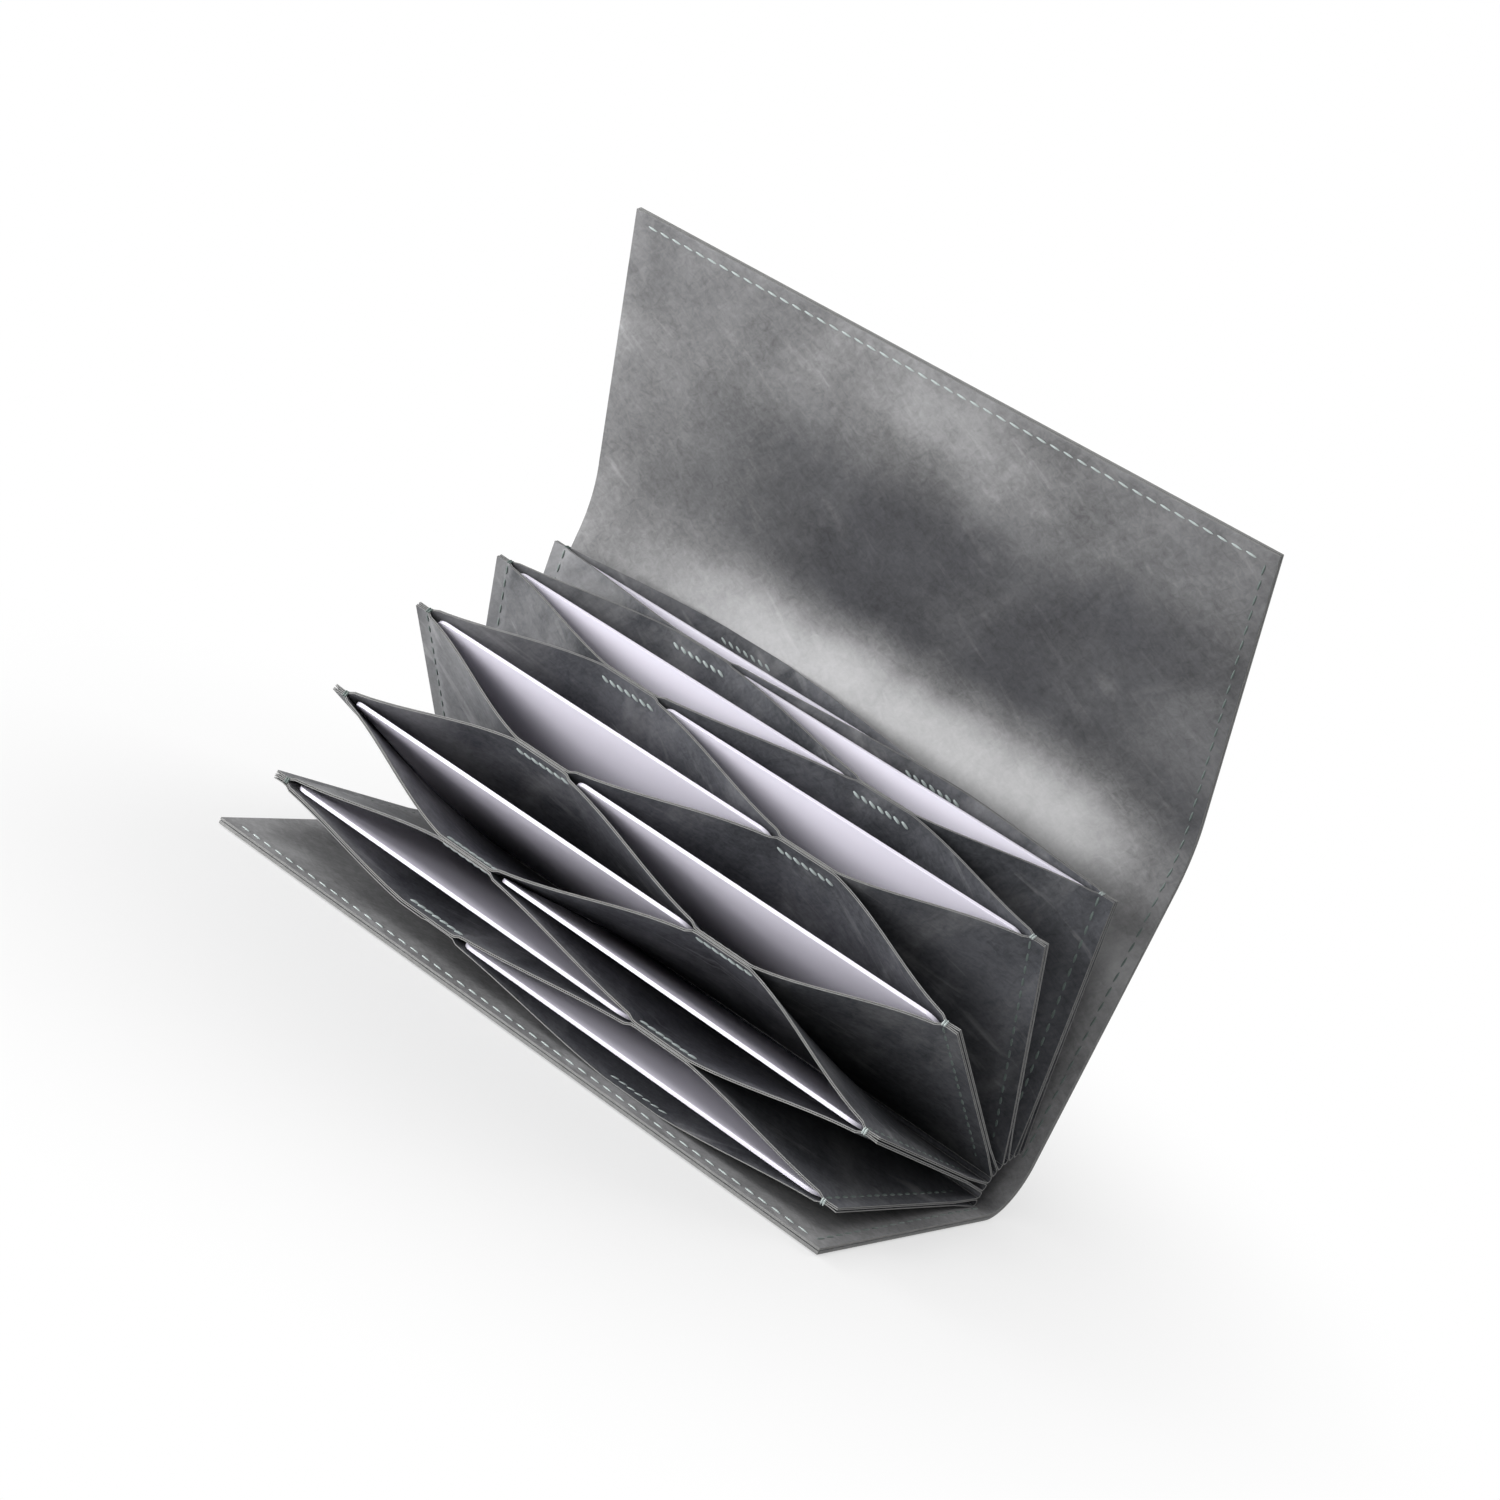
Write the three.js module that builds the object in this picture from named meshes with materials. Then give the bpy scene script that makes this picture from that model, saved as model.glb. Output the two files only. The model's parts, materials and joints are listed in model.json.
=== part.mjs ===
// Fan-fold leather card case, open, with a blank card in each of its staggered pockets.
// Millimetres, +Z up. The front panel lies on the floor and the fan opens from -Y to +Z.
import * as THREE from "three";

// Cards
const cardLength = 85.6;
const cardWidth = 53.98;
const cardThick = 0.76;
const cardCorner = 3.18;
const cornerSteps = 4;

// Leather thickness
const pocketPly = 0.3;
const liningLeather = 0.5;
const outerLeather = 0.7;

// Clearances
const cardPlay = 0.1;
const cardEndPlay = 1.4;
const cardLift = 0.3;
const glueGap = 0.1;
const seamGap = 0.12;
const foldGap = 0.3;
const flapPlay = 0.4;

// Pocket leaves
const leafAboveCard = 0.7;
const seamInset = 3;
const tackCentre = 26.7;
const tackLength = 13;
const plySoftness = 0.4;

// Opening in degrees from the front panel to the first leaf, then from leaf to leaf, then to the back
const fanSteps = [4.2, 4.8, 6.2, 10.8, 9.6, 11.2, 10.4, 9, 9.6, 4.7, 9.5];

// Cover
const coverLip = 2.8;
const frontLip = 5.5;
const backRise = 8.5;
const panelTail = 1.6;
const flapPanelLength = 45;
const flapBend = 26;

// Fineness of curves
const foldSteps = 4;
const spineSteps = 10;
const spineRoundness = 0.5523;
const innerSteps = 4;
const rampSteps = 5;

// Sizes that follow from the ones above
const pocketCount = fanSteps.length - 1;
const backRow = pocketCount + 1;
const coverThick = outerLeather + glueGap + liningLeather;
const halfGap = cardThick / 2 + cardPlay;
const pitch = 2 * (halfGap + pocketPly) + glueGap;
const wallOffset = halfGap + pocketPly / 2;
const leafHeight = cardLift + cardWidth + leafAboveCard;
const tackStart = tackCentre - tackLength / 2;
const tackEnd = tackStart + tackLength;
const seamX = cardLength + 2 * cardEndPlay - tackStart;
const leafHalf = seamX + seamInset;
const coverLength = 2 * (leafHalf + coverLip);
const frontDepth = panelTail + leafHeight + frontLip;
const backHeight = leafHeight + backRise;
const glueLine = glueGap + liningLeather;
const stackThick = pocketCount * pitch + glueGap;
const bridgeLength = 2 * (glueLine - glueGap / 2) + stackThick + coverThick + flapPlay;

const outerFinish = { color: 0x6f7174, roughness: 0.72, metalness: 0 };
const liningFinish = { color: 0x7d7f82, roughness: 0.78, metalness: 0 };
const pocketFinish = { color: 0x5c5e62, roughness: 0.8, metalness: 0 };
const cardFinish = { color: 0xf3f2f5, roughness: 0.35, metalness: 0 };

const part = new THREE.Group();
part.name = "card_case";

function addMesh(parent, name, geometry, finish) {
  const mesh = new THREE.Mesh(geometry, new THREE.MeshStandardMaterial(finish));
  mesh.name = name;
  parent.add(mesh);
}

function addGroup(parent, section, turn) {
  const group = new THREE.Group();
  group.position.set(0, section.x, section.y);
  group.rotation.x = turn;
  parent.add(group);
  return group;
}

// A section point is (y, z). Along runs from the spine to a leaf's free edge,
// across runs from one leaf to the one behind it.
function along(angle) {
  return new THREE.Vector2(-Math.cos(angle), Math.sin(angle));
}

function across(angle) {
  return new THREE.Vector2(Math.sin(angle), Math.cos(angle));
}

function moved(point, angle, height, depth) {
  return point.clone().addScaledVector(along(angle), height).addScaledVector(across(angle), depth);
}

// The leaves stand on a chain of fold lines, and each is turned by one fan step from the last
const angles = [0];
for (const step of fanSteps) {
  angles.push(angles.at(-1) + THREE.MathUtils.degToRad(step));
}
const frontFold = new THREE.Vector2(frontDepth / 2 - panelTail, coverThick + glueGap / 2);
const roots = [moved(frontFold, 0, 0, -pitch / 2)];
for (let row = 1; row <= backRow; row++) {
  const fold = moved(roots[row - 1], angles[row - 1], 0, pitch / 2);
  roots.push(moved(fold, angles[row], 0, pitch / 2));
}
const backFold = moved(roots[backRow], angles[backRow], 0, -pitch / 2);

// Even pockets are shut at the left seam and the right tack, odd ones are their mirror image
function mirrored(row, x) {
  return row % 2 === 0 ? x : -x;
}

// A ply runs almost straight from one seam to the next, and bends softly at both
function bridged(value, from, to) {
  const straight = THREE.MathUtils.clamp((value - from) / (to - from), 0, 1);
  const soft = THREE.MathUtils.smoothstep(value, from, to);
  return THREE.MathUtils.lerp(straight, soft, plySoftness);
}

// How far a pocket's plies have swung apart, from 0 where they are sewn to 1 at the neighbours.
// They stay level along the tacks.
function swing(row, x) {
  const place = mirrored(row, x);
  const ramp = bridged(Math.abs(place), tackEnd, seamX);
  if (Math.abs(place) <= tackStart) {
    return 1 - bridged(place, -tackStart, tackStart);
  }
  return place < 0 ? 1 - ramp : ramp;
}

// Half the space between the plies where they are shut. The card holds them apart up to its ends.
function shutHalfGap(row, x) {
  const place = mirrored(row, x);
  const reach = Math.min(place + seamX, tackStart - place) / cardEndPlay;
  return THREE.MathUtils.lerp(seamGap / 2, halfGap, THREE.MathUtils.clamp(reach, 0, 1));
}

// Where a ply's top edge lies on the cover lining or on the neighbouring pocket
function neighbourTop(next, direction, x) {
  const isCover = next === 0 || next === backRow;
  const depth = isCover ? pitch - wallOffset : shutHalfGap(next, x) + 1.5 * pocketPly + glueGap;
  return moved(roots[next], angles[next], leafHeight, -direction * depth);
}

function plyRoot(row, direction) {
  return moved(roots[row], angles[row], 0, direction * wallOffset);
}

function lean(from, to) {
  return Math.atan2(to.y - from.y, from.x - to.x);
}

// The centre of a ply's top edge. The first and last plies of the stack leave the cover
// beyond their own tack and lie on the other ply of their pocket.
function plyTop(row, direction, x) {
  const next = row + direction;
  const isOutermost = next === 0 || next === backRow;
  if (isOutermost && x * direction > tackCentre) {
    const other = plyTop(row, -direction, x);
    const tilt = lean(plyRoot(row, -direction), other);
    return moved(other, tilt, 0, direction * (pocketPly + seamGap));
  }
  const depth = shutHalfGap(row, x) + pocketPly / 2;
  const shut = moved(roots[row], angles[row], leafHeight, direction * depth);
  return shut.lerp(neighbourTop(next, direction, x), swing(row, x));
}

// One section of a pocket: down the front ply, round the fold, up the back ply
function pocketSection(row, x) {
  const at = (point) => new THREE.Vector3(x, point.x, point.y);
  const edge = (direction) => {
    const top = plyTop(row, direction, x);
    const tilt = lean(plyRoot(row, direction), top);
    const inner = at(moved(top, tilt, 0, (-direction * pocketPly) / 2));
    const outer = at(moved(top, tilt, 0, (direction * pocketPly) / 2));
    return { inner, outer };
  };
  const section = [edge(-1)];
  for (let step = 0; step <= foldSteps; step++) {
    const turn = (Math.PI * step) / foldSteps;
    const rim = (radius) =>
      at(moved(roots[row], angles[row], -radius * Math.sin(turn), -radius * Math.cos(turn)));
    section.push({ inner: rim(halfGap), outer: rim(halfGap + pocketPly) });
  }
  section.push(edge(1));
  return section;
}

// Places along the leaf where a section is taken, closest where the plies are held
function spread(from, to, steps) {
  return Array.from({ length: steps }, (_, step) => from + ((to - from) * (step + 1)) / steps);
}

function stations() {
  const cardEnd = tackStart - cardEndPlay;
  const right = [...spread(0, cardEnd, innerSteps), tackStart, tackEnd];
  right.push(...spread(tackEnd, seamX - cardEndPlay, rampSteps), seamX, leafHalf);
  const left = right.map((x) => -x).reverse();
  return [...left, 0, ...right];
}

// A closed sheet of leather from a row of sections, each a line of inner and outer points
function sheetGeometry(sections) {
  const width = sections[0].length;
  const points = sections.flat().flatMap((pair) => [pair.inner, pair.outer]);
  const inner = (i, k) => 2 * (i * width + k);
  const outer = (i, k) => inner(i, k) + 1;
  const index = [];
  const quad = (a, b, c, d) => index.push(a, b, c, a, c, d);
  const lastI = sections.length - 1;
  const lastK = width - 1;
  for (let i = 0; i < lastI; i++) {
    // Both plies are split from the fold at i to the edge at i + 1, so that glued plies stay parallel
    quad(outer(i, 1), outer(i + 1, 1), outer(i + 1, 0), outer(i, 0));
    quad(inner(i + 1, 0), inner(i + 1, 1), inner(i, 1), inner(i, 0));
    for (let k = 1; k < lastK; k++) {
      quad(outer(i, k), outer(i, k + 1), outer(i + 1, k + 1), outer(i + 1, k));
      quad(inner(i, k), inner(i + 1, k), inner(i + 1, k + 1), inner(i, k + 1));
    }
    quad(outer(i, 0), outer(i + 1, 0), inner(i + 1, 0), inner(i, 0));
    quad(inner(i, lastK), inner(i + 1, lastK), outer(i + 1, lastK), outer(i, lastK));
  }
  for (let k = 0; k < lastK; k++) {
    quad(outer(0, k), inner(0, k), inner(0, k + 1), outer(0, k + 1));
    quad(outer(lastI, k), outer(lastI, k + 1), inner(lastI, k + 1), inner(lastI, k));
  }
  const geometry = new THREE.BufferGeometry().setFromPoints(points);
  geometry.setIndex(index);
  geometry.computeVertexNormals();
  return geometry;
}

// A (y, z) outline drawn out along the length of the case
function longGeometry(outline, length) {
  const shape = new THREE.Shape(outline);
  const geometry = new THREE.ExtrudeGeometry(shape, { depth: length, bevelEnabled: false });
  geometry.translate(0, 0, -length / 2);
  const turned = new THREE.Matrix4();
  turned.makeBasis(
    new THREE.Vector3(0, 1, 0),
    new THREE.Vector3(0, 0, 1),
    new THREE.Vector3(1, 0, 0),
  );
  return geometry.applyMatrix4(turned);
}

// A cover panel about its glue line, lining towards -y. Folded ends are mitred so that they can turn.
function addPanel(group, name, bottom, top, foldedBottom, foldedTop) {
  const layer = (near, far) => {
    const cut = (depth) => foldGap / 2 + Math.abs(depth);
    const low = (depth) => new THREE.Vector2(depth, bottom + (foldedBottom ? cut(depth) : 0));
    const high = (depth) => new THREE.Vector2(depth, top - (foldedTop ? cut(depth) : 0));
    return longGeometry([low(near), low(far), high(far), high(near)], coverLength);
  };
  addMesh(group, name + "_lining", layer(-glueGap / 2 - liningLeather, -glueGap / 2), liningFinish);
  addMesh(group, name + "_outer", layer(glueGap / 2, glueGap / 2 + outerLeather), outerFinish);
}

const frontPlace = new THREE.Vector2(0, outerLeather + glueGap / 2);
const frontGroup = addGroup(part, frontPlace, -Math.PI / 2);
addPanel(frontGroup, "front_panel", -frontDepth / 2, frontDepth / 2, false, false);

const backPlace = moved(backFold, angles[backRow], 0, glueLine);
const backGroup = addGroup(part, backPlace, Math.PI / 2 - angles[backRow]);
addPanel(backGroup, "back_panel", -panelTail, backHeight, false, true);

const bridgeTurn = THREE.MathUtils.degToRad(flapBend);
const bridgeGroup = addGroup(backGroup, new THREE.Vector2(0, backHeight), bridgeTurn);
addPanel(bridgeGroup, "flap_bridge", 0, bridgeLength, true, true);

const flapGroup = addGroup(bridgeGroup, new THREE.Vector2(0, bridgeLength), 0);
addPanel(flapGroup, "flap_panel", 0, flapPanelLength, true, false);

// The spine leaves the front panel level and meets the back panel in line with it
const spineStart = new THREE.Vector2(frontDepth / 2 + foldGap, coverThick);
const spineEnd = moved(backFold, angles[backRow], -panelTail - foldGap, glueGap / 2);
const spineDrop = (spineEnd.y - coverThick) / Math.sin(angles[backRow]);
const spineCorner = moved(spineEnd, angles[backRow], -spineDrop, 0);
const spineCurve = new THREE.CubicBezierCurve(
  spineStart,
  spineStart.clone().lerp(spineCorner, spineRoundness),
  spineEnd.clone().lerp(spineCorner, spineRoundness),
  spineEnd,
);

function spineLayer(near, far) {
  const line = (depth) =>
    Array.from({ length: spineSteps + 1 }, (_, step) => {
      const place = step / spineSteps;
      const tangent = spineCurve.getTangent(place);
      const outward = new THREE.Vector2(tangent.y, -tangent.x);
      return spineCurve.getPoint(place).addScaledVector(outward, depth);
    });
  return longGeometry([...line(far), ...line(near).reverse()], coverLength);
}

addMesh(part, "spine_lining", spineLayer(0, liningLeather), liningFinish);
addMesh(part, "spine_outer", spineLayer(glueLine, coverThick), outerFinish);

// Cards stand in the leaf planes, each pushed against its pocket's seam
function cardShape() {
  const right = cardLength - cardCorner;
  const high = cardWidth - cardCorner;
  const shape = new THREE.Shape();
  shape.absarc(right, high, cardCorner, 0, Math.PI / 2);
  shape.absarc(cardCorner, high, cardCorner, Math.PI / 2, Math.PI);
  shape.absarc(cardCorner, cardCorner, cardCorner, Math.PI, 1.5 * Math.PI);
  shape.absarc(right, cardCorner, cardCorner, 1.5 * Math.PI, 2 * Math.PI);
  return shape;
}

function cardGeometry(row) {
  const solid = { depth: cardThick, bevelEnabled: false, curveSegments: cornerSteps };
  const geometry = new THREE.ExtrudeGeometry(cardShape(), solid);
  const start = cardEndPlay - seamX;
  geometry.translate(row % 2 === 0 ? start : -start - cardLength, cardLift, -cardThick / 2);
  return geometry.rotateX(Math.PI / 2);
}

for (let row = 1; row <= pocketCount; row++) {
  const number = String(row).padStart(2, "0");
  const sections = stations().map((x) => pocketSection(row, x));
  addMesh(part, "pocket_" + number, sheetGeometry(sections), pocketFinish);
  const leaf = addGroup(part, roots[row], Math.PI / 2 - angles[row]);
  addMesh(leaf, "card_" + number, cardGeometry(row), cardFinish);
}

export default part;
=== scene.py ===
"""Looks of a fan-fold leather card case that stands open with a blank card in every pocket."""

import json
import math

import bmesh
import bpy
from mathutils import Matrix, Vector


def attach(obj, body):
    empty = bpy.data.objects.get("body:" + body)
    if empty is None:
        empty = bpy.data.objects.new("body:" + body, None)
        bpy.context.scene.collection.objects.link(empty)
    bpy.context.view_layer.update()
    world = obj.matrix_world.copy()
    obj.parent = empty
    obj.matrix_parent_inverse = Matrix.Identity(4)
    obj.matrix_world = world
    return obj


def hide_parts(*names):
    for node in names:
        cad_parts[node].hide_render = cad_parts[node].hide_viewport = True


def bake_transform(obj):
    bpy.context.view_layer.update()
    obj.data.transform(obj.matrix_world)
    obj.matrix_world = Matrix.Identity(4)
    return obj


bl_info = {
    "name": "Fan-fold card case",
    "version": (1, 0, 0),
    "blender": (4, 5, 0),
    "location": "View3D > Sidebar > Card case",
    "description": "Cuts, forms and sews the leather of a fan-fold card case around its frame",
    "category": "Object",
}

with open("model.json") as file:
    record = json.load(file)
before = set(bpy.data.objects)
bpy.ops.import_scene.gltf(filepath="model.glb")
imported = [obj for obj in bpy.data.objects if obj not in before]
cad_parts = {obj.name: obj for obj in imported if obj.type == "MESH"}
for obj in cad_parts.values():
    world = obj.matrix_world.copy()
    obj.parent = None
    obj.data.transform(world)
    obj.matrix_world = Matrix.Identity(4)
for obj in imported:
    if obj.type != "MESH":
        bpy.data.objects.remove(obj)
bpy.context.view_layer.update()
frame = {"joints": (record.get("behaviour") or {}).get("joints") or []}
joints = {joint["name"]: joint for joint in frame["joints"]}

MM = 0.001
POCKETS = sum(name.startswith("leaf_") for name in joints)
BACK = POCKETS + 1
FRONT_SIDE, BACK_SIDE = -1, 1
LEFT, RIGHT = -1, 1

# A quarter circle's handles reach this far along the way to its corner
QUARTER_ROUND = 0.5523
SPINE_STEPS = 40
# Edges that turn by more than this, in radians, are cut edges
CUT_ANGLE = 1.0
SMOOTH_ANGLE = math.radians(40)
SAME_HEIGHT = 0.0001 * MM
# Cut edges are rounded by these shares of the thickness
LEATHER_ROUNDING, CARD_ROUNDING = 0.2, 0.12
# Each hide has its own grain: the lining is cut from 0, the outside from 1 and the pockets from 2 on
LINING_HIDE, OUTER_HIDE, POCKET_HIDE = 0, 1, 2
# Share of a mark's reach that has its full strength
MARK_CORE = 0.3
# Share of a stitch that shows, and its slant in radians
SEAM_SHOWN, COVER_SHOWN = 0.68, 0.76
TACK_SLANT, COVER_SLANT = 0.45, 0.1
# The thread is doubled in a tack and pulled tight in the cover
TACK_THREAD, COVER_THREAD = 1.2, 0.85


def linear(code):
    """Linear colour of an sRGB hex code."""
    shares = [int(code[place : place + 2], 16) / 255 for place in (1, 3, 5)]
    return [s / 12.92 if s <= 0.04045 else ((s + 0.055) / 1.055) ** 2.4 for s in shares]


def size(name, millimetres, description):
    return bpy.props.FloatProperty(
        name=name, default=millimetres * MM, unit="LENGTH", precision=5, description=description
    )


def colour(name, code, description):
    return bpy.props.FloatVectorProperty(
        name=name, default=linear(code), subtype="COLOR", min=0, max=1, description=description
    )


class CardCaseSizes(bpy.types.PropertyGroup):
    """Sizes of the leather, the cards and the thread."""

    card_length: size("Card length", 85.6, "Long side of a card")
    card_width: size("Card width", 53.98, "Short side of a card")
    card_thick: size("Card thickness", 0.76, "Thickness of a card")
    card_corner: size("Card corner", 3.18, "Radius of a card's corners")
    card_lift: size("Card lift", 0.3, "Room under a card in its pocket")
    card_play: size("Card play", 0.1, "Room beside each face of a card")
    card_end_play: size("Card end play", 1.4, "Room at each end of a card")
    leaf_above_card: size("Leaf above card", 0.7, "How far the leather stands above a card")
    pocket_ply: size("Pocket leather", 0.3, "Room for the leather of a pocket")
    pared_ply: size("Pared leather", 0.2, "Thickness that the leather of a pocket is pared to")
    lining_leather: size("Lining leather", 0.5, "Thickness of the lining of the cover")
    outer_leather: size("Outer leather", 0.7, "Thickness of the outside of the cover")
    glue_gap: size("Glue", 0.1, "Space between glued leathers")
    seam_gap: size("Seam", 0.02, "Space between sewn leathers")
    seam_inset: size("Seam inset", 3.0, "From a side seam to the side edge of a leaf")
    seam_flare: size("Seam flare", 0.13, "How far each half of a leaf opens again past its seam")
    fold_relief: size("Fold relief", 6.0, "How far a side seam stays open above the fold")
    tack_centre: size("Tack centre", 26.7, "From the middle of the case to the middle of a tack")
    tack_length: size("Tack length", 13.0, "Length of a tack")
    cover_lip: size("Cover lip", 2.8, "How far the cover stands out past a leaf's side edge")
    front_lip: size("Front lip", 5.5, "How far the front panel stands out past the leaves")
    panel_tail: size("Panel tail", 1.6, "How far a cover panel runs on behind its fold")
    back_rise: size("Back rise", 8.5, "How far the back panel stands above the leaves")
    flap_panel: size("Flap panel", 45.0, "From the second fold of the flap to its free edge")
    bend_reach: size("Bend reach", 7.5, "From the middle of the bend in the flap to its ends")
    fold_reach: size("Fold reach", 4.0, "How much leather gives on each side of a fold of the flap")
    thread_radius: size("Thread", 0.24, "Half the thickness of the sewing thread")
    long_stitch: size("Long stitch", 3.0, "From one stitch of a side seam or of the cover to the next")
    cover_inset: size("Cover stitch inset", 2.3, "From the edge of the cover to its stitches")
    tack_stitch: size("Tack stitch", 1.9, "From one stitch of a tack to the next")
    tack_drop: size("Tack drop", 2.6, "From the top edge of a leaf to its tack")
    ply_softness: bpy.props.FloatProperty(
        name="Ply softness",
        default=0.4,
        min=0,
        max=1,
        subtype="FACTOR",
        description="How softly a ply bends at its seams, from straight to round",
    )


class CardCaseColours(bpy.types.PropertyGroup):
    """Colours of the leather, the thread, the cards and the floor."""

    outer_dark: colour("Outer, dark", "#4f5154", "Dark clouds of the outside leather")
    outer_light: colour("Outer, light", "#7c7e80", "Brushed lights of the outside leather")
    lining_dark: colour("Lining, dark", "#5f5f60", "Dark clouds of the lining")
    lining_light: colour("Lining, light", "#888889", "Brushed lights of the lining")
    # The pockets are the same hide as the cover, painted darker as shade so that they read as deep
    shaded_pocket_dark: colour("Pocket, dark", "#333539", "Dark clouds of the pocket leather")
    shaded_pocket_light: colour("Pocket, light", "#5f6065", "Brushed lights of the pocket leather")
    # Also the colour of painted shade, where the lining is marked dark
    streak_and_shade_dark: colour("Oil stain", "#94959a", "What oil leaves of the leather's own colour")
    # Also the colour of painted highlights, where the lining and the pockets are marked pale
    stretch_and_highlight_pale: colour("Bend", "#bebebf", "Leather that is stretched at a bend")
    raw_edge: colour("Cut edge", "#8a8a89", "Cut edges of the leather")
    # The thread is painted paler than it is, as a painted highlight on the tacks and edges
    thread: colour("Thread", "#b6c1bf", "Waxed sewing thread")
    # Painted shade: the same thread painted darker for the side seams and the right-hand edge
    shaded_side_thread: colour("Side thread", "#66736f", "Sewing thread that is dark from handling")
    card: colour("Card", "#eae6f3", "Blank cards")
    floor: colour("Floor", "#f1f1f1", "Floor and backdrop")


# Places in the case


def along(angle):
    """From the spine to a leaf's free edge, as (y, z)."""
    return Vector((-math.cos(angle), math.sin(angle)))


def across(angle):
    """From a leaf to the one behind it, as (y, z)."""
    return Vector((math.sin(angle), math.cos(angle)))


def moved(point, angle, height, depth):
    return point + along(angle) * height + across(angle) * depth


def at(x, point):
    return Vector((x, point.x, point.y))


def lean(base, top):
    return math.atan2(top.y - base.y, base.x - top.x)


def clamped(value, low, high):
    return min(max(value, low), high)


def smoothstep(value, low, high):
    share = clamped((value - low) / (high - low), 0, 1)
    return share * share * (3 - 2 * share)


def body_of(row):
    """The body of a row of the fan: the front panel is row 0 and the back panel the last one."""
    if row == 0:
        return "front_cover"
    return "back_cover" if row == BACK else f"leaf_{row:02d}"


class Layout:
    """Where everything lies in the open case, worked out from the frame's hinges and the sizes."""

    def __init__(self, sizes):
        self.sizes = s = sizes
        hinges = [joints[f"leaf_{row:02d}_hinge"] for row in range(1, BACK)] + [joints["back_hinge"]]
        folds = [Vector(hinge["pos_m"][1:]) for hinge in hinges]
        self.angles = [0]
        for hinge in hinges:
            self.angles.append(self.angles[-1] - math.radians(hinge["range_deg"][0]))
        self.pitch = (folds[1] - folds[0]).length
        self.roots = [moved(folds[0], 0, 0, -self.pitch / 2)]
        for fold, angle in zip(folds, self.angles[1:]):
            self.roots.append(moved(fold, angle, 0, self.pitch / 2))
        self.half_gap = s.card_thick / 2 + s.card_play
        self.wall = self.half_gap + s.pocket_ply / 2
        self.leaf_height = s.card_lift + s.card_width + s.leaf_above_card
        self.tack_start = s.tack_centre - s.tack_length / 2
        self.tack_end = s.tack_centre + s.tack_length / 2
        self.seam = s.card_length + 2 * s.card_end_play - self.tack_start
        self.leaf_half = self.seam + s.seam_inset
        self.cover_half = self.leaf_half + s.cover_lip
        self.front_depth = s.panel_tail + self.leaf_height + s.front_lip
        bridge = Vector(joints["flap_tip_fold"]["pos_m"]) - Vector(joints["flap_fold"]["pos_m"])
        self.bridge_length = bridge.length
        self.flap_lean = math.atan2(-bridge.y, bridge.z)
        self.spine_start = Vector((self.front_depth / 2, s.outer_leather + s.glue_gap / 2))
        back_length = self.leaf_height + s.back_rise + s.panel_tail
        self.spine_end = Vector(joints["flap_fold"]["pos_m"][1:]) - Vector((0, back_length))
        self.spine_corner = Vector((self.spine_end.x, self.spine_start.y))
        steps = [self.spine_curve(step / SPINE_STEPS)[0] for step in range(SPINE_STEPS + 1)]
        self.spine_length = sum((b - a).length for a, b in zip(steps, steps[1:]))
        self.bend_run = self.spine_length + back_length
        self.bridge_middle = self.bend_run + self.bridge_length / 2
        self.tip_run = self.bend_run + self.bridge_length
        self.end_run = self.tip_run + s.flap_panel

    def bridged(self, value, low, high):
        """A ply runs almost straight from one seam to the next, and bends softly at both."""
        straight = clamped((value - low) / (high - low), 0, 1)
        soft = smoothstep(value, low, high)
        return straight + (soft - straight) * self.sizes.ply_softness

    def seam_side(self, row):
        """The side of a pocket's seam, which changes from row to row."""
        return LEFT if row % 2 == 0 else RIGHT

    def seam_at_left(self, row, x):
        """A place along a row, mirrored where the row's seam is at the right."""
        return x if self.seam_side(row) == LEFT else -x

    def swing(self, row, x):
        """How far a pocket's plies are apart, from 0 where they are sewn to 1 at its neighbours."""
        place = self.seam_at_left(row, x)
        if abs(place) <= self.tack_start:
            return 1 - self.bridged(place, -self.tack_start, self.tack_start)
        ramp = self.bridged(abs(place), self.tack_end, self.seam)
        return 1 - ramp if place < 0 else ramp

    def shut_half_gap(self, row, x):
        """Half the space between shut plies, which the card holds apart up to its ends."""
        s = self.sizes
        place = self.seam_at_left(row, x)
        reach = min(place + self.seam, self.tack_start - place) / s.card_end_play
        pared_off = s.pocket_ply - s.pared_ply
        shut = s.seam_gap / 2 - pared_off
        flare = s.seam_flare * clamped((-place - self.seam) / s.seam_inset, 0, 1)
        return shut + flare + (self.half_gap - shut) * clamped(reach, 0, 1)

    def ply_root(self, row, side):
        return moved(self.roots[row], self.angles[row], 0, side * self.wall)

    def ply_top(self, row, side, x):
        """The middle of a ply's top edge, on its way between its own leaf and the next one."""
        s = self.sizes
        following = row + side
        is_outermost = following in (0, BACK)
        if is_outermost and x * side > s.tack_centre:
            other = self.ply_top(row, -side, x)
            tilt = lean(self.ply_root(row, -side), other)
            return moved(other, tilt, 0, side * (s.pocket_ply + s.seam_gap))
        depth = self.shut_half_gap(row, x) + s.pocket_ply / 2
        shut = moved(self.roots[row], self.angles[row], self.leaf_height, side * depth)
        beside = self.shut_half_gap(following, x) + 1.5 * s.pocket_ply + s.glue_gap
        if is_outermost:
            beside = self.pitch - self.wall
        joined = moved(self.roots[following], self.angles[following], self.leaf_height, -side * beside)
        return shut.lerp(joined, self.swing(row, x))

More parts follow.
